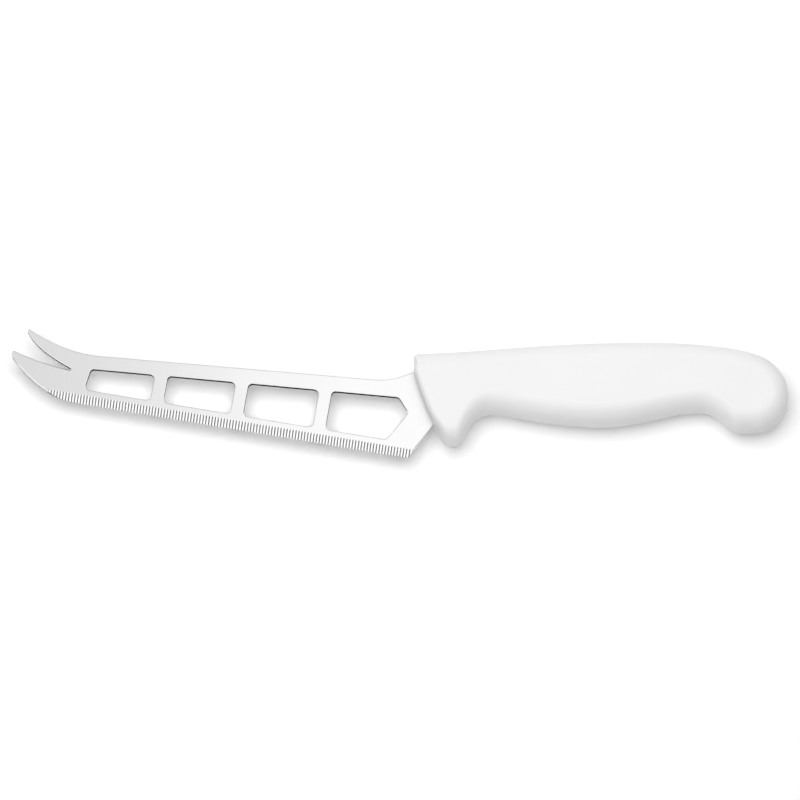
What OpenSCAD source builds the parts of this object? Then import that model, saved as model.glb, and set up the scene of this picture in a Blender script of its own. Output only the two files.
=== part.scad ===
// Cheese knife: a pierced, fluted blade with a forked tip, moulded into a plastic handle.
// It lies on its side: X runs from the fork to the butt, the cutting edge faces -Y,
// and the flutes look up along +Z. Lengths are in millimetres, angles in degrees.

/* [Blade] */
// Thickness of the blade steel
blade_t = 2; // [1.4:0.1:2.4]
// Slope of the cutting edge against the handle's axis
edge_a = 9.7; // [8.5:0.1:11]
// Angle by which the blade narrows toward the fork
taper_a = 4.6; // [3.8:0.1:5]
// Width of the blade at the heel, square to the edge
heel_w = 26.2; // [25:0.1:28]
// Straight length of the cutting edge
edge_l = 114.4; // [110:0.1:120]
// Distance of the heel's corner in front of the handle
heel_x = 2.1; // [1:0.1:4]
// Drop of the heel's corner below the handle's axis
heel_drop = 25.7; // [24.5:0.1:27]
// Slope of the heel's back edge
heel_back_a = 52.4; // [50:0.2:56]
// Radius of the heel's corner
heel_r = 1.2; // [0.6:0.1:2]

/* [Fork] */
// Reach of the lower tine past the straight edge
tip_l = 24.6; // [22:0.1:28]
// Height of the lower tine's point over the edge line
low_tine_h = 14.3; // [13:0.1:15.5]
// How far the upper tine stands back from the lower one
fork_back = 3.8; // [3:0.1:6]
// Height of the upper tine's point over the edge line
high_tine_h = 23.1; // [22:0.1:25]
// Depth of the slot behind the lower tine's point
slot_l = 20.4; // [17:0.1:22]
// Height of the slot's end over the edge line
slot_h = 11.1; // [10:0.1:12]
// Radius of the slot's end
slot_r = 0.4; // [0.3:0.05:0.6]
// Length over which the back sweeps up to the fork
sweep_l = 26.2; // [22:0.1:29]
// Width of the bevel along the lower tine's outer curve
tine_bevel_w = 0.5; // [0.3:0.05:0.7]

/* [Windows] */
// Steel left between the windows and the edge line
edge_rail = 4.85; // [4:0.05:5.5]
// Steel left between the windows and the back, at the heel
back_rail = 5.6; // [5:0.1:6.5]
// Angle between the windows' upper and lower sides
window_a = 4.25; // [3.8:0.05:4.6]
// Steel left between two windows
post_w = 4.45; // [4:0.05:6]
// Least steel left between the slot's end and the first window
fork_land = 1.8; // [1.5:0.1:5]
// Length of the window nearest the fork
window_l = 22.25; // [21:0.05:23]
// Extra length of each next window toward the heel
window_step = 0.85; // [0.5:0.05:1]
// Distance of the last window's front end from the heel's corner
last_window_x = 29.25; // [28:0.05:32]
// Length of the last window along its lower side
last_window_l = 21; // [19:0.1:21.5]
// Corner radius of the windows
window_r = 1.6; // [1:0.1:2]

/* [Flutes] */
// Distance from one flute to the next
flute_pitch = 1.03; // [0.9:0.01:1.4]
// Radius of each flute's hollow
flute_r = 0.7; // [0.68:0.01:0.9]
// Height of the fluted band over the edge line
flute_l = 2.9; // [2.5:0.1:3.6]

/* [Tang] */
// Length of the tang inside the handle
tang_l = 96; // [80:1:100]
// Width of the tang
tang_w = 13; // [11:0.5:14]
// Diameter of the holes that the plastic fills
tang_hole_d = 6; // [4:0.5:7]
// Distance between those holes
tang_hole_pitch = 28; // [20:1:30]

/* [Handle] */
// Length of the handle
handle_l = 127.3; // [123:0.1:134]
// Thickness of the handle between its flat sides
handle_t = 18; // [16.5:0.5:20]
// Height of the handle's back over its axis at the blade
back_front_h = 10.2; // [9.6:0.1:11]
// Height of the back at its crest
back_crest_h = 14.2; // [13.2:0.1:15.2]
// Distance of that crest from the handle's front
back_crest_x = 79; // [74:1:86]
// Drop of the finger guard below the axis
guard_drop = 21.4; // [20.5:0.1:23]
// Distance of the guard's tip from the front
guard_x = 13.6; // [13:0.1:14.4]
// Drop of the finger hollow below the axis
hollow_drop = 10.3; // [9.7:0.1:11]
// Distance of the finger hollow from the front
hollow_x = 26.3; // [25:0.1:28]
// Drop of the palm swell below the axis
palm_drop = 14.7; // [13.8:0.1:16]
// Distance of the palm swell from the front
palm_x = 63; // [60:1:67]
// Drop of the waist in front of the pommel
waist_drop = 9.7; // [9.2:0.1:10.4]
// Distance of that waist from the rear
waist_back = 29.5; // [28:0.1:31]
// Drop of the pommel below the axis
pommel_drop = 16.8; // [16:0.1:18]
// Length of the pommel along its underside
pommel_l = 16.9; // [16:0.1:18]
// Width of the rounding along the long sides
grip_w = 6.4; // [5.6:0.1:8]
// Height of that rounding
grip_h = 8.5; // [7:0.1:8.6]
// Width of the rounding beside the blade
front_r = 2; // [1.6:0.1:2.4]
// Width of the rounding at the butt
butt_r = 6; // [5:0.1:7]

/* [Hidden] */

// Roundness of circles and the largest bend of one outline step
$fn = 32;
bend_step = 6;
// Overrun of every cut past the steel
over = 1;

// Heel and slot places in the edge frame: u runs along the edge, negative toward the fork,
// and v rises square to it. Both start at the heel's corner.
low_tine_u = -edge_l - tip_l;
high_tine_u = low_tine_u + fork_back;
slot_u = low_tine_u + slot_l;
sweep_u = high_tine_u + sweep_l;
// Half breadth and length of the two blunt points of the fork
point_w = 0.45;
point_l = 0.7;
// Depth of the tine's bevel as a share of the steel, the part of the curve that it takes,
// and the part of that over which it runs in from the point
bevel_depth_share = 0.55;
bevel_end_share = 0.62;
bevel_start_share = 0.25;
// Steps along the bevel
bevel_steps = 16;

// Steel that keeps the ridges between flutes off a zero edge
edge_land = 0.12;
// Height of those ridges over the flutes' hollows, and slope of the hollows
ridge_h = flute_r - sqrt(pow(flute_r, 2) - pow(flute_pitch / 2, 2));
flute_a = atan((blade_t - edge_land + ridge_h) / flute_l);
// Stretch of the outline that the fluting wheel runs over, past the straight edge
flute_run = 11;

// Back of the blade: where it stops being straight, dips, and enters the handle
back_end_x = 22.5;
dip_x = 11.4;
dip_h = 1.45;
entry_h = 4.3;
entry_rise = 24;
// Rounding of the tang's ends and of its meeting with the heel
tang_r = 2;
tang_root_r = 4;
// Distance of the first tang hole from the tang's end
tang_hole_end = 14;

// Front corner of the handle's back, and the point where its front edge starts to slope
front_corner_r = 1.2;
nose_h = 3.4;
// Foot of the front edge, where the heel's back edge meets it
foot_x = 6.4;
foot_drop = 13.6;
foot_a = -63.5;
// Shoulder where the back rounds into the butt, and the rearmost point's drop
shoulder_back = 11;
shoulder_h = 10;
butt_drop = 4.3;
// Length over which the pommel's underside rounds up to the rearmost point
butt_under_l = 11.7;
// Height of the rounding beside the blade, and width of the one at the guard
front_round_h = 3;
guard_inset = 4.8;
// Arc steps of the handle's rounding from side to edge
round_steps = 6;
// Places between two neighbouring main points of the outline, as shares of their distance
back_rise_share = 0.37;
back_fall_share = [0.74, 0.45];
guard_front_share = [0.5, 0.78];
guard_rear_share = [0.23, 0.14];
palm_front_share = [0.27, 0.34];
palm_rear_share = [0.62, 0.64];
toe_share = [0.8, 0.88];
// Insets of the flat side's border, as shares of the rounding's width
corner_inset_share = [0.27, -0.79];
nose_inset_share = [0.95, -0.3];
top_corner_inset_share = [0.2, -1];
shoulder_inset_share = [-0.39, -0.88];
guard_front_inset_share = [0.05, 0.8];
guard_tip_inset_share = [-0.27, 1];
guard_rear_inset_share = [-0.48, 0.8];

// Direction of an angle, and the signed turn from one heading to another
function unit(a) = [cos(a), sin(a)];
function turn(a, b) = (b - a + 900) % 360 - 180;
function heading(p, q) = atan2(q[1] - p[1], q[0] - p[0]);
function spot(k) = [k[0], k[1]];

// Cubic curve from knot p to knot q. A knot is [x, y, heading], and t runs from 0 to 1.
// The handles have the length that draws a true arc where the turn is even.
function reach(p, q) = norm(spot(q) - spot(p)) / (3 * pow(cos(turn(p[2], q[2]) / 4), 2));
function curve_at(p, q, t) =
    let (
        r = reach(p, q),
        a = spot(p) + r * unit(p[2]),
        b = spot(q) - r * unit(q[2])
    )
    pow(1 - t, 3) * spot(p) + 3 * pow(1 - t, 2) * t * a
        + 3 * (1 - t) * pow(t, 2) * b + pow(t, 3) * spot(q);

// Steps that a curve needs for its bends, one where it is straight
function bends(p, q) =
    let (chord = heading(p, q))
    abs(turn(p[2], chord)) + abs(turn(chord, q[2]));
function steps(p, q) = max(1, ceil(bends(p, q) / bend_step));
function curve(p, q) = [for (i = [0 : steps(p, q) - 1]) curve_at(p, q, i / steps(p, q))];

// Two knots that round the corner p between two headings with radius r
function corner(p, a, b, r) =
    let (d = r * abs(tan(turn(a, b) / 2)))
    [
        [p[0] - d * cos(a), p[1] - d * sin(a), a],
        [p[0] + d * cos(b), p[1] + d * sin(b), b]
    ];

// Closed outline through knots
function outline(knots) = [
    for (i = [0 : len(knots) - 1])
        each curve(knots[i], knots[(i + 1) % len(knots)])
];

// Crossing of two lines, each through a point at a heading
function crossing(p, a, q, b) =
    let (d = q - p, s = (d[0] * sin(b) - d[1] * cos(b)) / sin(b - a))
    p + s * unit(a);

// Knot of the edge frame, seen in the handle's frame
function at_edge(k) = [
    -heel_x + k[0] * cos(edge_a) + k[1] * sin(edge_a),
    -heel_drop - k[0] * sin(edge_a) + k[1] * cos(edge_a),
    len(k) > 2 ? k[2] - edge_a : 0
];

// Height of the blade's back over the edge line
function back_v(u) = heel_w + u * tan(taper_a);

// Outline of the blade and its tang, counterclockwise from the tang's upper rear corner
back_a = 180 + taper_a;
back_end_u = heel_x - back_end_x;
tine_heel = at_edge([low_tine_u + point_l, low_tine_h - 6 * point_w, 316]);
edge_start = at_edge([-edge_l, 0, 0]);
heel_top = [(heel_drop - tang_w / 2) / tan(heel_back_a) - heel_x, -tang_w / 2];
blade_knots = concat(
    corner([tang_l, tang_w / 2], 90, 180, tang_r),
    [
        [entry_h, tang_w / 2, 180],
        [0, entry_h, 180 + entry_rise],
        [-dip_x, dip_h, 180],
        at_edge([back_end_u, back_v(back_end_u), back_a]),
        at_edge([sweep_u, back_v(sweep_u), back_a]),
        at_edge([high_tine_u + point_l, high_tine_h - point_w, 155]),
        at_edge([high_tine_u, high_tine_h - 2 * point_w, 260]),
        at_edge([high_tine_u + point_l, high_tine_h - 5 * point_w, 310]),
        at_edge([slot_u, slot_h + slot_r, 339]),
        at_edge([slot_u + slot_r, slot_h, 255]),
        at_edge([slot_u, slot_h - slot_r, 175]),
        at_edge([low_tine_u + point_l, low_tine_h, 161]),
        at_edge([low_tine_u, low_tine_h - point_w, 262]),
        tine_heel,
        edge_start
    ],
    corner([-heel_x, -heel_drop], -edge_a, heel_back_a, heel_r),
    corner(heel_top, heel_back_a, 0, tang_root_r),
    corner([tang_l, -tang_w / 2], 0, 90, tang_r)
);
blade_points = outline(blade_knots);

// Four-sided windows: as many as fit between the slot and the last window
function row_l(n) = n * (window_l + post_w) + window_step * n * (n - 1) / 2;
row_space = -last_window_x - slot_u - slot_r - fork_land;
most_windows = floor(row_space / (window_l + post_w));
window_count = max([for (n = [0 : most_windows]) if (row_l(n) <= row_space) n]);

// Ends of those windows along the edge line, counted from the fork to the heel
function window_end(i) =
    i == window_count - 1 ? -last_window_x - post_w : window_start(i + 1) - post_w;
function window_start(i) = window_end(i) - window_l - i * window_step;
function window_top(u) = heel_w - back_rail + u * tan(window_a);

// Rounded outline of a window from its corners in the edge frame
function rounded(corners, r) = outline([
    for (i = [0 : len(corners) - 1])
        let (
            n = len(corners),
            p = corners[i],
            a = heading(corners[(i + n - 1) % n], p),
            b = heading(p, corners[(i + 1) % n])
        )
        each corner(p, a, b, r)
]);
function in_edge_frame(corners) = [for (c = corners) at_edge(c)];

// Lean of the first window's front end, and the pointed rear end of the last window
first_lean = 1;
last_point_h = 15.3;
last_point_low_a = 61;
last_point_high_a = 130;

module window(i) {
    u0 = window_start(i);
    u1 = window_end(i);
    lean = i == 0 ? first_lean : 0;
    polygon(rounded(in_edge_frame([
        [u0 - lean / 2, edge_rail],
        [u1, edge_rail],
        [u1, window_top(u1)],
        [u0 + lean / 2, window_top(u0)]
    ]), window_r));
}

module last_window() {
    u0 = -last_window_x;
    u1 = u0 + last_window_l;
    u2 = u1 + (last_point_h - edge_rail) / tan(last_point_low_a);
    shoulder = crossing([u2, last_point_h], last_point_high_a, [0, window_top(0)], window_a);
    polygon(rounded(in_edge_frame([
        [u0, edge_rail],
        [u1, edge_rail],
        [u2, last_point_h],
        shoulder,
        [u0, window_top(u0)]
    ]), window_r));
}

// Comb of round-nosed ribs that cuts the flutes, sloping down to the edge
module flute_comb() {
    count = ceil((edge_l + flute_run) / flute_pitch) + 2;
    rotate([0, 0, -edge_a])
        translate([0, flute_l, blade_t / 2])
            rotate([90 + flute_a, 0, 0])
                translate([0, 0, -over])
                    linear_extrude(flute_l / cos(flute_a) + 2 * over) {
                        for (i = [0 : count - 1])
                            translate([(1.5 - i) * flute_pitch, flute_r])
                                circle(flute_r);
                        translate([(2 - count) * flute_pitch, flute_r])
                            square([(count - 1) * flute_pitch, blade_t + over]);
                    }
}

// Wedge that grinds the plain bevel along the lower tine's outer curve
function beside(k, d) = [k[0] - d * sin(k[2]), k[1] + d * cos(k[2]), k[2]];
module tine_grind() {
    run = [for (i = [0 : bevel_steps]) i / bevel_steps];
    rows = [for (s = run)
        let (
            t = s * bevel_end_share,
            depth = blade_t * bevel_depth_share * min(1, s / bevel_start_share),
            w = tine_bevel_w * min(1, s / bevel_start_share),
            out = curve_at(beside(tine_heel, -over), beside(edge_start, -over), t),
            in = curve_at(beside(tine_heel, w), beside(edge_start, w), t),
            slope = blade_t * bevel_depth_share / tine_bevel_w
        )
        each [
            [out[0], out[1], blade_t / 2 - depth - over * slope],
            [in[0], in[1], blade_t / 2],
            [in[0], in[1], blade_t / 2 + over],
            [out[0], out[1], blade_t / 2 + over]
        ]
    ];
    last = 4 * bevel_steps;
    polyhedron(
        points = rows,
        faces = concat(
            [[0, 1, 2], [0, 2, 3], [last, last + 2, last + 1], [last, last + 3, last + 2]],
            [for (i = [0 : bevel_steps - 1], k = [0 : 3])
                let (a = 4 * i + k, b = 4 * i + (k + 1) % 4)
                each [[a, a + 4, b + 4], [a, b + 4, b]]
            ]
        )
    );
}

module tang_holes() {
    for (i = [0 : 2])
        translate([tang_l - tang_hole_end - i * tang_hole_pitch, 0])
            circle(d = tang_hole_d);
}

// Blade steel as stamped, before the windows and flutes
module blade_blank() {
    translate([0, 0, -blade_t / 2])
        linear_extrude(blade_t)
            difference() {
                polygon(blade_points);
                tang_holes();
            }
}

// Main points of the handle's outline and places between them
nose = [0, nose_h];
crest = [back_crest_x, back_crest_h];
shoulder = [handle_l - shoulder_back, shoulder_h];
foot = [foot_x, -foot_drop];
guard = [guard_x, -guard_drop];
hollow = [hollow_x, -hollow_drop];
palm = [palm_x, -palm_drop];
waist = [handle_l - waist_back, -waist_drop];
pommel = [handle_l - pommel_l, -pommel_drop];
function between(p, q, share) = [for (i = [0 : 1]) p[i] + (q[i] - p[i]) * share[i]];

// Knots of the outline: place, heading, inset of the flat side's border, height of the
// rounding, and steps to the next knot. The back and the underside have as many steps.
function knot(place, a, inset, h, n) = [place[0], place[1], a, inset[0], inset[1], h, n];
top_knots = [
    knot(nose, 90, front_r * nose_inset_share, front_round_h, 3),
    knot([0, back_front_h - front_corner_r], 90, grip_w * corner_inset_share, grip_h, 5),
    knot([front_corner_r, back_front_h], 2, grip_w * top_corner_inset_share, grip_h, 17),
    knot([hollow_x, back_front_h + (back_crest_h - back_front_h) * back_rise_share], 5,
        [0, -grip_w], grip_h, 13),
    knot(crest, 0, [0, -grip_w], grip_h, 13),
    knot(between(crest, shoulder, back_fall_share), -8.5, [0, -grip_w], grip_h, 8),
    knot(shoulder, -18, grip_w * shoulder_inset_share, grip_h, 12),
    knot([handle_l, -butt_drop], -90, [-butt_r, 0], grip_h, 0)
];
low_knots = [
    knot(nose, -73.5, front_r * nose_inset_share, front_round_h, 6),
    knot(foot, foot_a, front_r * unit(90 + foot_a), front_round_h, 4),
    knot(between(foot, guard, guard_front_share), -55, guard_inset * guard_front_inset_share,
        grip_h, 4),
    knot(guard, 0, guard_inset * guard_tip_inset_share, grip_h, 5),
    knot(between(guard, hollow, guard_rear_share), 67, guard_inset * guard_rear_inset_share,
        grip_h, 8),
    knot(hollow, -1, [0, grip_w], grip_h, 4),
    knot(between(hollow, palm, palm_front_share), -10, [0, grip_w], grip_h, 9),
    knot(palm, 0, [0, grip_w], grip_h, 7),
    knot(between(palm, waist, palm_rear_share), 14.5, [0, grip_w], grip_h, 4),
    knot(waist, 0, [0, grip_w], grip_h, 6),
    knot(between(waist, pommel, toe_share), -44, [0, grip_w], grip_h, 3),
    knot(pommel, 0, [0, grip_w], grip_h, 2),
    knot([handle_l - butt_under_l, -pommel_drop], 0, [0, grip_w], grip_h, 9),
    knot([handle_l, -butt_drop], 90, [-butt_r, 0], grip_h, 0)
];

// Rows of [outer point, side border point, rounding height] along a chain of knots
function inner(k) = [k[0] + k[3], k[1] + k[4], k[2]];
function span_rows(p, q) = [
    for (i = [0 : p[6] - 1])
        let (t = i / p[6])
        [curve_at(p, q, t), curve_at(inner(p), inner(q), t), p[5] + (q[5] - p[5]) * t]
];
function chain(knots) = concat(
    [for (i = [0 : len(knots) - 2]) each span_rows(knots[i], knots[i + 1])],
    [let (k = knots[len(knots) - 1]) [spot(k), spot(inner(k)), k[5]]]
);
function reversed(list) = [for (i = [len(list) - 1 : -1 : 0]) list[i]];
function middle(list) = [for (i = [1 : len(list) - 2]) list[i]];

handle_rows = concat(reversed(chain(top_knots)), middle(chain(low_knots)));
half_rows = len(chain(top_knots)) - 1;

// Height steps of the rounding: lower side, parting band, upper side
handle_levels = concat(
    [for (i = [round_steps : -1 : 0]) [-1, 90 * i / round_steps]],
    [for (i = [0 : round_steps]) [1, 90 * i / round_steps]]
);
function level_point(row, level) =
    let (flat = row[0] + (row[1] - row[0]) * (1 - cos(level[1])))
    [flat[0], flat[1], level[0] * (handle_t / 2 - row[2] * (1 - sin(level[1])))];

// Moulded handle before the tang is taken out of it
module handle_form() {
    n = len(handle_rows);
    levels = len(handle_levels);
    top = (levels - 1) * n;
    side_faces = [
        for (r = [0 : levels - 2], i = [0 : n - 1])
            let (a = r * n + i, b = r * n + (i + 1) % n)
            each [[a, b + n, b], [a, a + n, b + n]]
    ];
    // The flat sides are strips between the back's border and the lower one
    land_faces = [
        for (i = [0 : half_rows - 1])
            let (a = i, b = i + 1, c = (2 * half_rows - i - 1) % n, d = (2 * half_rows - i) % n)
            each concat(
                c == b ? [] : [[a, b, c]],
                d == a ? [] : [[a, c, d]]
            )
    ];
    polyhedron(
        points = [for (l = handle_levels) for (row = handle_rows) level_point(row, l)],
        faces = concat(
            side_faces,
            land_faces,
            [for (f = land_faces) [for (k = [2, 1, 0]) f[k] + top]]
        )
    );
}

// Shift that brings the middle of the underside to the origin
x_low = min([for (p = blade_points) p[0]]);
y_low = min([for (p = blade_points) p[1]]);
y_high = max([for (p = blade_points) p[1]]);
function frame_shift() = [-(x_low + handle_l) / 2, -(y_low + y_high) / 2, handle_t / 2];

module blade() {
    color("gainsboro")
        translate(frame_shift())
            difference() {
                blade_blank();
                translate([0, 0, -blade_t / 2 - over])
                    linear_extrude(blade_t + 2 * over) {
                        for (i = [0 : 1 : window_count - 1]) window(i);
                        last_window();
                    }
                translate([-heel_x, -heel_drop, 0]) flute_comb();
                tine_grind();
            }
}

module handle() {
    color("whitesmoke")
        translate(frame_shift())
            difference() {
                handle_form();
                blade_blank();
            }
}

blade();
handle();
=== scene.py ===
"""Cheese knife: a pierced steel blade with a forked tip and a fluted edge, in a white handle.

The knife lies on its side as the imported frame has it: X runs from the fork to the butt,
the cutting edge faces -Y, and the fluted face looks up. Lengths below are millimetres in
the handle's own frame, whose origin is on the tang's axis at the front of the handle, and
become metres only when a mesh is made.
"""

import math

import bmesh
import bpy
from mathutils import Matrix, Vector


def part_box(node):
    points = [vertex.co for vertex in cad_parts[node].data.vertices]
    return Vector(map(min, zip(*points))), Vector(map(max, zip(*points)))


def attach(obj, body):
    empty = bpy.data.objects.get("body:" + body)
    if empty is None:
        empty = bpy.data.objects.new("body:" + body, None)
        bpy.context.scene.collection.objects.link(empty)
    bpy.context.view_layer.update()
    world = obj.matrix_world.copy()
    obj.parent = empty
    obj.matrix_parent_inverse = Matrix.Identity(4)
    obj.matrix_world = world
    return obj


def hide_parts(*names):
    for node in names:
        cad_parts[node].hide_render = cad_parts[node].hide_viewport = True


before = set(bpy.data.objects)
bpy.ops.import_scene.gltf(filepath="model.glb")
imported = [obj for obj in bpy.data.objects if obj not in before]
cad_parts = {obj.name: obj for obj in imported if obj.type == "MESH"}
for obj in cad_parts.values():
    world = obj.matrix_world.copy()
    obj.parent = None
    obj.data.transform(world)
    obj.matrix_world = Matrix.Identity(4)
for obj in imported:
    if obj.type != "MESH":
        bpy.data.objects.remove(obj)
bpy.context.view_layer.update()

MM = 0.001

# Sizes of the blade, as the model's source has them
BLADE_T = 2.0
EDGE_A = 9.7
TAPER_A = 4.6
HEEL_W = 26.2
EDGE_L = 114.4
HEEL = Vector((-2.1, -25.7))
HEEL_BACK_A = 52.4
HEEL_R = 1.2
BACK_END_X = 22.5
DIP = Vector((-11.4, 1.45))
ENTRY_H = 4.3
ENTRY_RISE = 24
TANG_L = 96
TANG_W = 13
TANG_R = 2
TANG_ROOT_R = 4

# Sizes of the fork
TIP_L = 24.6
LOW_TINE_H = 14.3
FORK_BACK = 3.8
HIGH_TINE_H = 23.1
SLOT_L = 20.4
SLOT_H = 11.1
SLOT_R = 0.4
SWEEP_L = 26.2
POINT_W = 0.45
POINT_L = 0.7

# Sizes of the windows
EDGE_RAIL = 4.85
BACK_RAIL = 5.6
WINDOW_A = 4.25
POST_W = 4.45
WINDOW_L = 22.25
WINDOW_STEP = 0.85
FIRST_LEAN = 1
LAST_WINDOW_X = -29.25
LAST_WINDOW_L = 21
LAST_POINT_H = 15.3
LAST_POINT_LOW_A = 61
LAST_POINT_HIGH_A = 130
WINDOW_R = 1.6

# Sizes of the handle
HANDLE_L = 127.3
HANDLE_T = 18
BACK_FRONT_H = 10.2
BACK_CREST_H = 14.2
GUARD_DROP = 21.4
POMMEL_DROP = 16.8
GRIP_W = 6.4
GRIP_H = 8.5
FRONT_W = 2
FRONT_H = 3
FRONT_CORNER_R = 1.2
GUARD_W = 4.8
BUTT_R = 6

# Tumbling breaks the steel's edges
EDGE_BREAK = 0.3

# Places of a mesh that are nearer than this are one, in metres
WELD = 1e-6
FINE_WELD = 1e-7

# Power of the softbox and of the card beside it, in watts
SOFTBOX_W = 25.5
CARD_W = 0.33

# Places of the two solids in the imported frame
blade_low, blade_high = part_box("blade")
handle_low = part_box("handle")[0]
AXIS = Vector((handle_low.x, handle_low.y + GUARD_DROP * MM, (blade_low.z + blade_high.z) / 2))


# Outlines: a knot is a place and a heading, and a cubic curve joins two knots

def unit(a):
    """Direction of a heading in degrees."""
    return Vector((math.cos(math.radians(a)), math.sin(math.radians(a))))


def turn(a, b):
    """Signed turn from one heading to another."""
    return (b - a + 900) % 360 - 180


def heading(p, q):
    """Heading from one place to another."""
    return math.degrees(math.atan2(q[1] - p[1], q[0] - p[0]))


def curve_at(p, q, t):
    """Place at share t of the curve from knot p to knot q."""
    reach = (q[0] - p[0]).length / (3 * math.cos(math.radians(turn(p[1], q[1]) / 4)) ** 2)
    a = p[0] + reach * unit(p[1])
    b = q[0] - reach * unit(q[1])
    s = 1 - t
    return s ** 3 * p[0] + 3 * s * s * t * a + 3 * s * t * t * b + t ** 3 * q[0]


def outline(knots, bend_step=3):
    """Closed row of places through knots, with one step for every few degrees of bend."""
    places = []
    for p, q in zip(knots, knots[1:] + knots[:1]):
        chord = heading(p[0], q[0])
        bend = abs(turn(p[1], chord)) + abs(turn(chord, q[1]))
        steps = max(1, math.ceil(bend / bend_step))
        places += [curve_at(p, q, i / steps) for i in range(steps)]
    return places


def corner(place, a, b, r):
    """Two knots that round a corner between two headings."""
    d = r * abs(math.tan(math.radians(turn(a, b) / 2)))
    return [(place - d * unit(a), a), (place + d * unit(b), b)]


def rounded(corners, r):
    """Closed outline with every corner rounded."""
    knots = []
    for i, place in enumerate(corners):
        before = heading(corners[i - 1], place)
        after = heading(place, corners[(i + 1) % len(corners)])
        knots += corner(place, before, after, r)
    return outline(knots)


def beside(knot, d):
    """Knot moved sideways, to the left of its heading."""
    return (knot[0] + d * unit(knot[1] + 90), knot[1])


def edge_place(u, v):
    """Place u along the cutting edge from the heel and v square to it."""
    a = math.radians(EDGE_A)
    return HEEL + Vector((u * math.cos(a) + v * math.sin(a), v * math.cos(a) - u * math.sin(a)))


def edge_knot(u, v, a):
    """Knot given along and square to the cutting edge."""
    return (edge_place(u, v), a - EDGE_A)


def in_frame(place, z=0.0):
    """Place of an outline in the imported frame, in metres."""
    return AXIS + Vector((place[0], place[1], z)) * MM


# Blade

TIP_U = -EDGE_L - TIP_L
TINE_HEEL = edge_knot(TIP_U + POINT_L, LOW_TINE_H - 6 * POINT_W, 316)
EDGE_START = edge_knot(-EDGE_L, 0, 0)


def back_knot(u):
    """Knot on the straight back of the blade."""
    return edge_knot(u, HEEL_W + u * math.tan(math.radians(TAPER_A)), 180 + TAPER_A)


def fork_knots():
    """Knots round the upper tine, the slot and the lower tine."""
    high_u = TIP_U + FORK_BACK
    slot_u = TIP_U + SLOT_L
    return [
        back_knot(high_u + SWEEP_L),
        edge_knot(high_u + POINT_L, HIGH_TINE_H - POINT_W, 155),
        edge_knot(high_u, HIGH_TINE_H - 2 * POINT_W, 260),
        edge_knot(high_u + POINT_L, HIGH_TINE_H - 5 * POINT_W, 310),
        edge_knot(slot_u, SLOT_H + SLOT_R, 339),
        edge_knot(slot_u + SLOT_R, SLOT_H, 255),
        edge_knot(slot_u, SLOT_H - SLOT_R, 175),
        edge_knot(TIP_U + POINT_L, LOW_TINE_H, 161),
        edge_knot(TIP_U, LOW_TINE_H - POINT_W, 262),
        TINE_HEEL,
        EDGE_START,
    ]


def blade_outline():
    """Tang, back, fork, edge and heel of the blade in one outline."""
    heel_top_x = HEEL.x + (-HEEL.y - TANG_W / 2) / math.tan(math.radians(HEEL_BACK_A))
    knots = corner(Vector((TANG_L, TANG_W / 2)), 90, 180, TANG_R)
    knots += [
        (Vector((ENTRY_H, TANG_W / 2)), 180),
        (Vector((0, ENTRY_H)), 180 + ENTRY_RISE),
        (DIP, 180),
        back_knot(-HEEL.x - BACK_END_X),
    ]
    knots += fork_knots()
    knots += corner(HEEL, -EDGE_A, HEEL_BACK_A, HEEL_R)
    knots += corner(Vector((heel_top_x, -TANG_W / 2)), HEEL_BACK_A, 0, TANG_ROOT_R)
    knots += corner(Vector((TANG_L, -TANG_W / 2)), 0, 90, TANG_R)
    return outline(knots)


def window_top(u):
    """Height of the windows' upper rail over the edge line."""
    return HEEL_W - BACK_RAIL + u * math.tan(math.radians(WINDOW_A))


def last_window():
    """Corners of the window beside the heel, whose rear end is pointed."""
    front = LAST_WINDOW_X
    rear = front + LAST_WINDOW_L
    point_u = rear + (LAST_POINT_H - EDGE_RAIL) / math.tan(math.radians(LAST_POINT_LOW_A))
    rise = math.tan(math.radians(LAST_POINT_HIGH_A))
    slope = math.tan(math.radians(WINDOW_A))
    shoulder_u = (window_top(0) - LAST_POINT_H + rise * point_u) / (rise - slope)
    return [(front, EDGE_RAIL), (rear, EDGE_RAIL), (point_u, LAST_POINT_H),
            (shoulder_u, window_top(shoulder_u)), (front, window_top(front))]


def window_outlines():
    """Four windows between the edge rail and the back rail, growing toward the heel."""
    windows = [last_window()]
    front = LAST_WINDOW_X
    for i in (2, 1, 0):
        rear = front - POST_W
        front = rear - WINDOW_L - i * WINDOW_STEP
        lean = FIRST_LEAN if i == 0 else 0
        windows.append([(front - lean / 2, EDGE_RAIL), (rear, EDGE_RAIL),
                        (rear, window_top(rear)), (front + lean / 2, window_top(front))])
    return [rounded([edge_place(u, v) for u, v in w], WINDOW_R) for w in windows]


def tang_holes():
    """Three holes of the tang that the plastic fills."""
    radius, end, pitch, facet = 3, 14, 28, 15
    return [[Vector((TANG_L - end - i * pitch, 0)) + radius * unit(a) for a in range(0, 360, facet)]
            for i in range(3)]


def object_of(name, mesh):
    """Object with a mesh, linked to the scene."""
    made = bpy.data.objects.new(name, mesh)
    bpy.context.collection.objects.link(made)
    return made


def mesh_of(name, points, faces):
    """Mesh with its normals turned outward."""
    mesh = bpy.data.meshes.new(name)
    mesh.from_pydata(points, [], faces)
    work = bmesh.new()
    work.from_mesh(mesh)
    bmesh.ops.recalc_face_normals(work, faces=work.faces)
    work.to_mesh(mesh)
    work.free()
    return mesh


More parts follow.
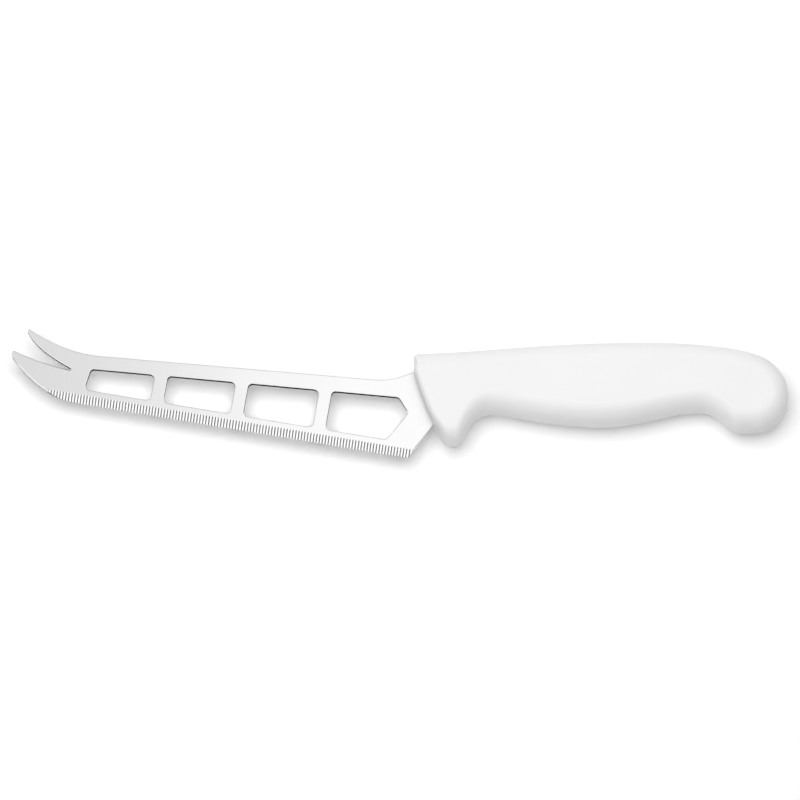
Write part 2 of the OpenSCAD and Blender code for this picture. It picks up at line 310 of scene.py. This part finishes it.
def settled(piece, name):
    """Plain mesh of a piece with its modifiers in it, in place of the piece."""
    graph = bpy.context.evaluated_depsgraph_get()
    mesh = bpy.data.meshes.new_from_object(piece.evaluated_get(graph))
    bpy.data.objects.remove(piece)
    work = bmesh.new()
    work.from_mesh(mesh)
    bmesh.ops.remove_doubles(work, verts=work.verts, dist=FINE_WELD)
    bmesh.ops.recalc_face_normals(work, faces=work.faces)
    work.to_mesh(mesh)
    work.free()
    mesh.name = name
    return object_of(name, mesh)


def blade_blank():
    """Plate of steel with its outline and windows cut and its edges broken."""
    shape = bpy.data.curves.new("blank", "CURVE")
    shape.dimensions = "2D"
    shape.fill_mode = "BOTH"
    shape.extrude = (BLADE_T / 2 - EDGE_BREAK) * MM
    shape.bevel_depth = EDGE_BREAK * MM
    shape.bevel_resolution = 2
    # A hair inside the outline, so that no rounding shows past the CAD solid
    hair = 0.01
    shape.offset = -(EDGE_BREAK + hair) * MM
    for places in [blade_outline(), *window_outlines(), *tang_holes()]:
        spline = shape.splines.new("POLY")
        spline.points.add(len(places) - 1)
        spline.use_cyclic_u = True
        for point, place in zip(spline.points, places):
            spot = in_frame(place)
            point.co = (spot.x, spot.y, 0, 1)
    blank = settled(object_of("blank", shape), "blank")
    blank.data.transform(Matrix.Translation((0, 0, AXIS.z)))
    return blank


def tine_wedge():
    """Wedge that grinds the plain bevel along the lower tine's outer curve."""
    width, depth, over, steps = 0.5, 0.55 * BLADE_T, 1.0, 16
    thin_share, start_share, end_share = 0.04, 0.25, 0.62
    top = BLADE_T / 2
    rows = []
    for i in range(steps + 1):
        share = i / steps
        grow = min(1, thin_share + share / start_share)
        t = share * end_share
        out = curve_at(beside(TINE_HEEL, -over), beside(EDGE_START, -over), t)
        inner = curve_at(beside(TINE_HEEL, width * grow), beside(EDGE_START, width * grow), t)
        rows += [in_frame(out, top - depth * grow - over * depth / width), in_frame(inner, top),
                 in_frame(inner, top + over), in_frame(out, top + over)]
    faces = [(0, 1, 2, 3), tuple(range(len(rows) - 4, len(rows)))]
    for i in range(0, len(rows) - 4, 4):
        faces += [(i + k, i + (k + 1) % 4, i + (k + 1) % 4 + 4, i + k + 4) for k in range(4)]
    return object_of("wedge", mesh_of("wedge", rows, faces))


def add(tree, kind, settings=(), **links):
    """Outputs of a new node with its settings, and values or links on its inputs.

    An input goes by its name, with underscores for spaces, or by its position, as in0.
    """
    node = tree.nodes.new(kind)
    for key, value in dict(settings).items():
        setattr(node, key, value)
    for key, value in links.items():
        socket = node.inputs[int(key[2:]) if key[2:].isdigit() else key.replace("_", " ")]
        if isinstance(value, bpy.types.NodeSocket):
            tree.links.new(value, socket)
        else:
            socket.default_value = value
    return node.outputs


def row_of_arcs(tree, given):
    """Wavy line of arcs toward -X, one for each flute, that bulge toward -Y."""
    pitch, radius = given["Pitch"], given["Hollow Radius"]
    half_pitch = add(tree, "ShaderNodeMath", {"operation": "MULTIPLY"}, in0=pitch, in1=0.5)[0]
    share = add(tree, "ShaderNodeMath", {"operation": "DIVIDE"}, in0=half_pitch, in1=radius)[0]
    half_arc = add(tree, "ShaderNodeMath", {"operation": "ARCSINE"}, in0=share)[0]
    start = add(tree, "ShaderNodeMath", {"operation": "SUBTRACT"}, in0=-math.pi / 2, in1=half_arc)[0]
    sweep = add(tree, "ShaderNodeMath", {"operation": "MULTIPLY"}, in0=half_arc, in1=2.0)[0]
    arc = add(tree, "GeometryNodeCurveArc", {"mode": "RADIUS"}, Resolution=15, Radius=radius,
              Start_Angle=start, Sweep_Angle=sweep)[0]
    # The row starts past the heel and runs to the fork
    first_x = add(tree, "ShaderNodeMath", {"operation": "MULTIPLY"}, in0=pitch, in1=1.5)[0]
    first = add(tree, "ShaderNodeCombineXYZ", X=first_x, Y=radius)[0]
    step_x = add(tree, "ShaderNodeMath", {"operation": "MULTIPLY"}, in0=pitch, in1=-1.0)[0]
    step = add(tree, "ShaderNodeCombineXYZ", X=step_x)[0]
    spots = add(tree, "GeometryNodeMeshLine", {"mode": "OFFSET"}, Count=given["Count"],
                Start_Location=first, Offset=step)[0]
    arcs = add(tree, "GeometryNodeInstanceOnPoints", Points=spots, Instance=arc)[0]
    arcs = add(tree, "GeometryNodeRealizeInstances", Geometry=arcs)[0]
    wave = add(tree, "GeometryNodeCurveToMesh", Curve=arcs)[0]
    return add(tree, "GeometryNodeMergeByDistance", Geometry=wave, Distance=WELD)[0]


def comb_solid(tree, given):
    """Solid comb: the wavy line drawn out along Z, and the sheet that this makes along Y."""
    # An offset that isn't linked would follow the normals
    along = add(tree, "ShaderNodeCombineXYZ", Z=1.0)[0]
    upward = add(tree, "ShaderNodeCombineXYZ", Y=1.0)[0]
    sheet = add(tree, "GeometryNodeExtrudeMesh", {"mode": "EDGES"}, Mesh=row_of_arcs(tree, given),
                Offset=along, Offset_Scale=given["Length"])[0]
    height = add(tree, "ShaderNodeMath", {"operation": "MULTIPLY"}, in0=given["Hollow Radius"],
                 in1=4.0)[0]
    block = add(tree, "GeometryNodeExtrudeMesh", {"mode": "FACES"}, Mesh=sheet, Offset=upward,
                Offset_Scale=height, Individual=False)[0]
    join = tree.nodes.new("GeometryNodeJoinGeometry")
    tree.links.new(add(tree, "GeometryNodeFlipFaces", Mesh=sheet)[0], join.inputs[0])
    tree.links.new(block, join.inputs[0])
    return add(tree, "GeometryNodeMergeByDistance", Geometry=join.outputs[0], Distance=WELD)[0]


def laid_comb(tree, given):
    """Comb at the slope of the grind, along the blade's edge."""
    run_out = add(tree, "ShaderNodeMath", {"operation": "MULTIPLY"}, in0=given["Overrun"], in1=-1.0)[0]
    back = add(tree, "ShaderNodeCombineXYZ", Z=run_out)[0]
    face = add(tree, "ShaderNodeCombineXYZ", Y=given["Band"], Z=given["Face Height"])[0]
    slope = add(tree, "ShaderNodeCombineXYZ", X=given["Slope"])[0]
    edge = add(tree, "ShaderNodeCombineXYZ", Z=given["Edge Angle"])[0]
    comb = comb_solid(tree, given)
    for shift, spin in ((back, (0, 0, 0)), (face, slope), (given["Heel"], edge)):
        comb = add(tree, "GeometryNodeTransform", Geometry=comb, Translation=shift, Rotation=spin)[0]
    return comb


def torn_and_painted_shade_walls(tree, given):
    """Choice of the walls that get painted shade over dull blanked steel: all but the heel's back,
    ground bright.
    """
    normal = add(tree, "ShaderNodeSeparateXYZ", in0=add(tree, "GeometryNodeInputNormal")[0])
    place = add(tree, "ShaderNodeSeparateXYZ", in0=add(tree, "GeometryNodeInputPosition")[0])
    heel = add(tree, "ShaderNodeSeparateXYZ", in0=given["Heel"])
    lean = add(tree, "ShaderNodeMath", {"operation": "ABSOLUTE"}, in0=normal["Z"])[0]
    upright = add(tree, "ShaderNodeMath", {"operation": "LESS_THAN"}, in0=lean, in1=0.4)[0]
    limit = add(tree, "ShaderNodeMath", {"operation": "SUBTRACT"}, in0=heel["X"],
                in1=given["Pitch"])[0]
    ahead = add(tree, "ShaderNodeMath", {"operation": "LESS_THAN"}, in0=place["X"], in1=limit)[0]
    above = add(tree, "ShaderNodeMath", {"operation": "GREATER_THAN"}, in0=normal["Y"], in1=0.0)[0]
    torn_and_shaded = add(tree, "ShaderNodeMath", {"operation": "MAXIMUM"}, in0=ahead, in1=above)[0]
    return add(tree, "ShaderNodeMath", {"operation": "MULTIPLY"}, in0=upright, in1=torn_and_shaded)[0]


def flute_tree():
    """Nodes that grind a comb of round hollows along a blade's edge.

    One arc is repeated along the edge, and the wavy line that they make together is drawn
    out into a single solid, which is taken off the steel at the slope of the grind.
    """
    tree = bpy.data.node_groups.new("fluted edge", "GeometryNodeTree")
    sockets = tree.interface
    sockets.new_socket("Blank", in_out="INPUT", socket_type="NodeSocketGeometry")
    for name, kind in (("Pitch", "Float"), ("Hollow Radius", "Float"), ("Length", "Float"),
                       ("Overrun", "Float"), ("Slope", "Float"), ("Count", "Int"),
                       ("Face Height", "Float"), ("Band", "Float"), ("Heel", "Vector"),
                       ("Edge Angle", "Float"), ("Steel", "Material"), ("Wall", "Material")):
        sockets.new_socket(name, in_out="INPUT", socket_type="NodeSocket" + kind)
    sockets.new_socket("Blade", in_out="OUTPUT", socket_type="NodeSocketGeometry")
    given = add(tree, "NodeGroupInput")
    ground = add(tree, "GeometryNodeMeshBoolean", {"operation": "DIFFERENCE", "solver": "MANIFOLD"},
                 Mesh_1=given["Blank"], Mesh_2=laid_comb(tree, given))[0]
    done = add(tree, "GeometryNodeRealizeInstances", Geometry=ground)[0]
    done = add(tree, "GeometryNodeSetMaterial", Geometry=done, Material=given["Steel"])[0]
    # The chosen walls get near-black steel: painted shade, over steel that the press left dull
    done = add(tree, "GeometryNodeSetMaterial", Geometry=done, Selection=torn_and_painted_shade_walls(tree, given),
               Material=given["Wall"])[0]
    add(tree, "NodeGroupOutput", in0=done)
    return tree


def give(modifier, **values):
    """Set a node modifier's inputs by their sockets' identifiers."""
    for item in modifier.node_group.interface.items_tree:
        key = item.name.replace(" ", "_")
        if key in values:
            modifier[item.identifier] = values[key]


def blade_piece(steel, wall):
    """Blade with its tine ground and its edge fluted."""
    pitch, radius, band, land, over = 1.03, 0.7, 2.9, 0.12, 1
    run, spare = 11, 2
    crease_a = 10
    ridge = radius - math.sqrt(radius ** 2 - (pitch / 2) ** 2)
    slope = math.atan((BLADE_T - land + ridge) / band)
    blank = blade_blank()
    wedge = tine_wedge()
    grind = blank.modifiers.new("tine", "BOOLEAN")
    grind.operation = "DIFFERENCE"
    grind.solver = "MANIFOLD"
    grind.object = wedge
    flutes = blank.modifiers.new("flutes", "NODES")
    flutes.node_group = flute_tree()
    give(flutes, Pitch=pitch * MM, Hollow_Radius=radius * MM, Band=band * MM,
         Length=(band / math.cos(slope) + 2 * over) * MM, Overrun=over * MM,
         Slope=math.pi / 2 + slope, Count=math.ceil((EDGE_L + run) / pitch) + spare,
         Face_Height=BLADE_T / 2 * MM, Heel=in_frame(HEEL)[:], Edge_Angle=-math.radians(EDGE_A),
         Steel=steel, Wall=wall)
    blade = settled(blank, "blade_steel")
    bpy.data.objects.remove(wedge)
    blade.data.shade_smooth()
    blade.data.set_sharp_from_angle(angle=math.radians(crease_a))
    return blade


# Handle: a knot adds the inset of the flat side's border, the rounding's height and the
# steps to the next knot

NOSE = Vector((0, 3.4))
CREST = Vector((79, BACK_CREST_H))
SHOULDER = Vector((HANDLE_L - 11, 10))
FOOT = Vector((6.4, -13.6))
GUARD = Vector((13.6, -GUARD_DROP))
HOLLOW = Vector((26.3, -10.3))
PALM = Vector((63, -14.7))
WAIST = Vector((HANDLE_L - 29.5, -9.7))
POMMEL = Vector((HANDLE_L - 16.9, -POMMEL_DROP))
POMMEL_END = Vector((HANDLE_L - 11.7, -POMMEL_DROP))
BUTT = Vector((HANDLE_L, -4.3))
NOSE_INSET = FRONT_W * Vector((0.95, -0.3))
BUTT_INSET = Vector((-BUTT_R, 0))


def between(p, q, x_share, y_share):
    """Place at a share of the way across and a share of the way up."""
    return Vector((p.x + (q.x - p.x) * x_share, p.y + (q.y - p.y) * y_share))


def back_chain():
    """Knots along the handle's back, from the front to the butt."""
    rise_share = 0.37
    rise = Vector((HOLLOW.x, BACK_FRONT_H + (BACK_CREST_H - BACK_FRONT_H) * rise_share))
    down = Vector((0, -GRIP_W))
    front_top = Vector((0, BACK_FRONT_H - FRONT_CORNER_R))
    top_front = Vector((FRONT_CORNER_R, BACK_FRONT_H))
    return [
        (NOSE, 90, NOSE_INSET, FRONT_H, 3),
        (front_top, 90, GRIP_W * Vector((0.27, -0.79)), GRIP_H, 5),
        (top_front, 2, GRIP_W * Vector((0.2, -1)), GRIP_H, 17),
        (rise, 5, down, GRIP_H, 13),
        (CREST, 0, down, GRIP_H, 13),
        (between(CREST, SHOULDER, 0.74, 0.45), -8.5, down, GRIP_H, 8),
        (SHOULDER, -18, GRIP_W * Vector((-0.39, -0.88)), GRIP_H, 12),
        (BUTT, -90, BUTT_INSET, GRIP_H, 0),
    ]


def under_chain():
    """Knots along the guard, the finger hollow, the palm swell and the pommel."""
    up = Vector((0, GRIP_W))
    return [
        (NOSE, -73.5, NOSE_INSET, FRONT_H, 6),
        (FOOT, -63.5, FRONT_W * unit(26.5), FRONT_H, 4),
        (between(FOOT, GUARD, 0.5, 0.78), -55, GUARD_W * Vector((0.05, 0.8)), GRIP_H, 4),
        (GUARD, 0, GUARD_W * Vector((-0.27, 1)), GRIP_H, 5),
        (between(GUARD, HOLLOW, 0.23, 0.14), 67, GUARD_W * Vector((-0.48, 0.8)), GRIP_H, 8),
        (HOLLOW, -1, up, GRIP_H, 4),
        (between(HOLLOW, PALM, 0.27, 0.34), -10, up, GRIP_H, 9),
        (PALM, 0, up, GRIP_H, 7),
        (between(PALM, WAIST, 0.62, 0.64), 14.5, up, GRIP_H, 4),
        (WAIST, 0, up, GRIP_H, 6),
        (between(WAIST, POMMEL, 0.8, 0.88), -44, up, GRIP_H, 3),
        (POMMEL, 0, up, GRIP_H, 2),
        (POMMEL_END, 0, up, GRIP_H, 9),
        (BUTT, 90, BUTT_INSET, GRIP_H, 0),
    ]


def chain_rows(knots):
    """Rows of outer place, flat side's border and rounding height along a chain of knots."""
    fineness = 3
    rows = []
    for p, q in zip(knots, knots[1:]):
        steps = p[4] * fineness
        for i in range(steps):
            t = i / steps
            border = curve_at((p[0] + p[2], p[1]), (q[0] + q[2], q[1]), t)
            rows.append((curve_at(p, q, t), border, p[3] + (q[3] - p[3]) * t))
    last = knots[-1]
    rows.append((last[0], last[0] + last[2], last[3]))
    return rows


def handle_levels():
    """Levels of the loft, from the lower flat side to the upper one.

    A level has its side, its lift as a share of the rounding's height and its way in as a
    share of the border's inset.
    """
    round_steps, land_share = 16, 1.04
    groove_share, groove_depth_share = 0.2, 0.01
    quarter = [math.pi / 2 * i / round_steps for i in range(round_steps + 1)]
    upper = [(1, math.sin(a), 1 - math.cos(a)) for a in quarter] + [(1, 1, land_share)]
    lower = [(-1, lift, way_in) for _, lift, way_in in reversed(upper)]
    # Fine groove where the halves of the mould meet
    parting = [(-groove_share, 0, 0), (0, 0, groove_depth_share), (groove_share, 0, 0)]
    return lower + parting + upper


def loft_faces(row_n, level_n, half):
    """Faces of the loft's wall, and strips across each of its two flat sides."""
    faces = []
    for base in range(0, (level_n - 1) * row_n, row_n):
        for i in range(row_n):
            a, b = base + i, base + (i + 1) % row_n
            faces.append((a, b, b + row_n, a + row_n))
    top = (level_n - 1) * row_n
    for i in range(half):
        strip = dict.fromkeys((i, i + 1, (2 * half - i - 1) % row_n, (2 * half - i) % row_n))
        faces.append(tuple(strip))
        faces.append(tuple(k + top for k in reversed(strip)))
    return faces


def handle_piece(plastic):
    """Handle lofted round its outline, from flat side to flat side."""
    back, under = chain_rows(back_chain()), chain_rows(under_chain())
    rows = back[::-1] + under[1:-1]
    levels = handle_levels()
    points = []
    for side, lift, way_in in levels:
        for outer, border, height in rows:
            place = outer + (border - outer) * way_in
            points.append(in_frame(place, side * (HANDLE_T / 2 - height * (1 - lift))))
    faces = loft_faces(len(rows), len(levels), len(back) - 1)
    handle = object_of("handle_moulding", mesh_of("handle_moulding", points, faces))
    handle.data.shade_smooth()
    handle.data.materials.append(plastic)
    return handle


# Materials

def colour(code):
    """Linear colour of an sRGB hex value."""
    parts = [int(code[i:i + 2], 16) / 255 for i in (1, 3, 5)]
    return [c / 12.92 if c <= 0.04045 else ((c + 0.055) / 1.055) ** 2.4 for c in parts] + [1.0]


def material(name):
    """Material with an empty tree."""
    made = bpy.data.materials.new(name)
    made.use_nodes = True
    made.node_tree.nodes.clear()
    return made


def surface(tree, **looks):
    """End a material's tree in a surface with these looks."""
    shader = add(tree, "ShaderNodeBsdfPrincipled", **looks)[0]
    add(tree, "ShaderNodeOutputMaterial", Surface=shader)


def satin_stainless_steel():
    """Stainless steel ground with fine grit across the blade, then polished to a satin.

    The grit leaves short lines square to the edge that soften every reflection along it.
    """
    made = material("satin_stainless_steel")
    tree = made.node_tree
    place = add(tree, "ShaderNodeTexCoord")["Object"]
    turned = add(tree, "ShaderNodeMapping", Vector=place, Rotation=(0, 0, math.radians(EDGE_A)))[0]
    # Grit lines are 0.05 mm apart on the steel; 0.35 mm is the finest that the render shows
    lines = add(tree, "ShaderNodeMapping", Vector=turned, Scale=(1, 0.05, 1))[0]
    grit = add(tree, "ShaderNodeTexNoise", Vector=lines, Scale=1 / (0.35 * MM), Detail=3.0)["Fac"]
    # Slow change of polish, about 12 mm across
    polish = add(tree, "ShaderNodeTexNoise", Vector=turned, Scale=1 / (12 * MM), Detail=2.0)["Fac"]
    tone = add(tree, "ShaderNodeMix", {"data_type": "RGBA"}, in0=grit, in6=colour("#e2e2e2"),
               in7=colour("#e8e8e8"))[2]
    rough = add(tree, "ShaderNodeMapRange", Value=grit, To_Min=0.25, To_Max=0.31)[0]
    rough = add(tree, "ShaderNodeMath", {"operation": "MULTIPLY_ADD"}, in0=polish, in1=0.06,
                in2=rough)[0]
    bump = add(tree, "ShaderNodeBump", Strength=0.06, Distance=0.02 * MM, Height=grit)[0]
    surface(tree, Base_Color=tone, Roughness=rough, Normal=bump, Metallic=1.0)
    return made


def blanked_stainless_wall():
    """Stainless steel as the press left it, dull and tear-marked, with painted shade: much darker than
    the ground faces, for the shaded floor that it reflects.
    """
    made = material("blanked_stainless_wall")
    tree = made.node_tree
    place = add(tree, "ShaderNodeTexCoord")["Object"]
    # Tear marks run through the sheet's thickness, about 0.3 mm apart
    marks = add(tree, "ShaderNodeMapping", Vector=place, Scale=(1, 1, 0.1))[0]
    marks = add(tree, "ShaderNodeTexNoise", Vector=marks, Scale=1 / (0.3 * MM), Detail=2.0)["Fac"]
    # Painted shade: near-black colours, darker than dull blanked steel is
    tone = add(tree, "ShaderNodeMix", {"data_type": "RGBA"}, in0=marks, in6=colour("#303030"),
               in7=colour("#4a4a4a"))[2]
    rough = add(tree, "ShaderNodeMapRange", Value=marks, To_Min=0.4, To_Max=0.55)[0]
    bump = add(tree, "ShaderNodeBump", Strength=0.2, Distance=0.02 * MM, Height=marks)[0]
    # The dark tint keeps the walls dark even at a grazing view: painted shade.
    surface(tree, Base_Color=tone, Roughness=rough, Normal=bump, Metallic=1.0,
            Specular_Tint=colour("#606060"))
    return made


def matte_white_polypropylene():
    """White polypropylene moulded in a spark-eroded tool, which leaves a fine matte grain."""
    made = material("matte_white_polypropylene")
    tree = made.node_tree
    place = add(tree, "ShaderNodeTexCoord")["Object"]
    # The tool's grain is about 0.1 mm; it is drawn at 0.5 mm so that the render shows it
    grain = add(tree, "ShaderNodeTexNoise", Vector=place, Scale=1 / (0.5 * MM), Detail=3.0)["Fac"]
    # Faint flow of the melt, about 30 mm across
    flow = add(tree, "ShaderNodeTexNoise", Vector=place, Scale=1 / (30 * MM), Detail=1.0)["Fac"]
    tone = add(tree, "ShaderNodeMix", {"data_type": "RGBA"}, in0=flow, in6=colour("#ececec"),
               in7=colour("#f0f0f0"))[2]
    rough = add(tree, "ShaderNodeMapRange", Value=grain, To_Min=0.46, To_Max=0.6)[0]
    bump = add(tree, "ShaderNodeBump", Strength=0.15, Distance=0.02 * MM, Height=grain)[0]
    surface(tree, Base_Color=tone, Roughness=rough, Normal=bump, IOR=1.49)
    return made


def white_card():
    """Matte white card of the tabletop, shown as white to the camera and to the steel."""
    lift = 0.06
    made = material("white_card")
    tree = made.node_tree
    path = add(tree, "ShaderNodeLightPath")
    seen = add(tree, "ShaderNodeMath", {"operation": "ADD"}, in0=path["Is Camera Ray"],
               in1=path["Is Glossy Ray"])[0]
    seen = add(tree, "ShaderNodeMath", {"operation": "ADD"}, in0=seen,
               in1=path["Is Transmission Ray"])[0]
    glow = add(tree, "ShaderNodeMath", {"operation": "MULTIPLY"}, in0=seen, in1=lift)[0]
    surface(tree, Base_Color=colour("#fafafa"), Roughness=0.9, Specular_IOR_Level=0.0,
            Emission_Color=colour("#ffffff"), Emission_Strength=glow)
    return made


# Studio

def camera():
    """Camera above the cutting edge's side, with the knife across its view."""
    distance, tilt, view_width, far = 2500 * MM, math.radians(15), 272 * MM, 20
    middle = in_frame((-4.76, -5.45))
    data = bpy.data.cameras.new("camera")
    data.sensor_fit = "HORIZONTAL"
    data.sensor_width = 36
    data.lens = data.sensor_width * distance / view_width
    data.clip_end = far
    made = object_of("camera", data)
    made.location = middle + distance * Vector((0, -math.sin(tilt), math.cos(tilt)))
    made.rotation_euler = (tilt, 0, 0)
    bpy.context.scene.camera = made


def floor():
    """White tabletop under the knife."""
    side = 3.0
    mesh = mesh_of("floor", [(-side, -side, 0), (side, -side, 0), (side, side, 0), (-side, side, 0)],
                   [(0, 1, 2, 3)])
    mesh.materials.append(white_card())
    object_of("floor", mesh)


def room_in_steel(tree, way):
    """Brightness of the room by direction, as the steel reflects it.

    It is plain white over the blade. Each zone goes smoothly from one level to another
    while a direction crosses a span.
    """
    across = add(tree, "ShaderNodeMath", {"operation": "MULTIPLY_ADD"}, in0=way["Y"], in1=-1.2,
                 in2=way["X"])[0]
    zones = (
        # Dark stand in front, to the right, that gives each flute its dark flank
        (across, (0.88, 1.12), (0.88, 0.06)),
        # Dark stand at the back that draws the line along the spine, where it stands high
        (way["Y"], (0.42, 0.8), (0.0, -0.85)),
        (way["Z"], (0.35, 0.55), (0.0, 1.0)),
        # Brighter front and low walls, for the rims of the windows
        (way["Y"], (-0.75, -0.2), (1.6, 1.0)),
        (way["Z"], (0.05, 0.3), (2.2, 1.0)),
    )
    stand, back, high, front, low = [
        add(tree, "ShaderNodeMapRange", {"interpolation_type": "SMOOTHSTEP"}, Value=value,
            From_Min=span[0], From_Max=span[1], To_Min=ends[0], To_Max=ends[1])[0]
        for value, span, ends in zones]
    level = add(tree, "ShaderNodeMath", {"operation": "MULTIPLY_ADD"}, in0=back, in1=high, in2=1.0)[0]
    for zone in (stand, front, low):
        level = add(tree, "ShaderNodeMath", {"operation": "MULTIPLY"}, in0=level, in1=zone)[0]
    return level


def room_on_plastic(tree, way):
    """Brightness of the room by direction, as it lights matte surfaces.

    Bright walls light the handle's rounded sides, and the back wall is the brightest.
    """
    wall, ceiling, wall_top, back_gain = 0.77, 0.1, 0.45, 0.1
    light = add(tree, "ShaderNodeMapRange", Value=way["Z"], From_Min=0.0, From_Max=wall_top,
                To_Min=wall, To_Max=ceiling)[0]
    return add(tree, "ShaderNodeMath", {"operation": "MULTIPLY_ADD", "use_clamp": True},
               in0=way["Y"], in1=back_gain, in2=light)[0]


def studio_room():
    """Room that lights everything softly and that the steel reflects."""
    world = bpy.data.worlds.new("studio_room")
    world.use_nodes = True
    bpy.context.scene.world = world
    tree = world.node_tree
    way = add(tree, "ShaderNodeSeparateXYZ", in0=add(tree, "ShaderNodeTexCoord")["Generated"])
    path = add(tree, "ShaderNodeLightPath")
    seen = add(tree, "ShaderNodeMath", {"operation": "MAXIMUM"}, in0=path["Is Camera Ray"],
               in1=path["Is Glossy Ray"])[0]
    level = add(tree, "ShaderNodeMix", {"data_type": "FLOAT"}, in0=seen,
                in2=room_on_plastic(tree, way), in3=room_in_steel(tree, way))[0]
    sky = tree.nodes["Background"]
    sky.inputs["Color"].default_value = (1, 1, 1, 1)
    tree.links.new(level, sky.inputs["Strength"])


def area_light(name, shape, size, power, place):
    """Flat light that shines straight down and that the camera doesn't see."""
    lamp = bpy.data.lights.new(name, "AREA")
    lamp.shape = shape
    lamp.size, lamp.size_y = size
    lamp.energy = power
    made = object_of(name, lamp)
    made.location = place
    made.visible_camera = False
    return made


def studio_lights():
    """Softbox over the knife, a little to the left, and a white card that only steel sees.

    The card hangs over the heel, so that the steel's tone falls toward the fork.
    """
    box_size, box_place = (1.6, 1.6), (-0.15, 0.06, 1.5)
    card_size, card_place = (0.5, 0.45), (0.165, 0.09, 0.35)
    area_light("softbox", "DISK", box_size, SOFTBOX_W, box_place).visible_glossy = False
    area_light("card", "RECTANGLE", card_size, CARD_W, card_place).visible_diffuse = False


# Build

bpy.context.scene.view_settings.view_transform = "Standard"
camera()
floor()
studio_room()
studio_lights()

blade = blade_piece(satin_stainless_steel(), blanked_stainless_wall())
handle = handle_piece(matte_white_polypropylene())

for piece, node, finish in ((blade, "blade", "steel"), (handle, "handle", "plastic")):
    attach(piece, "root")
    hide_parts(node)
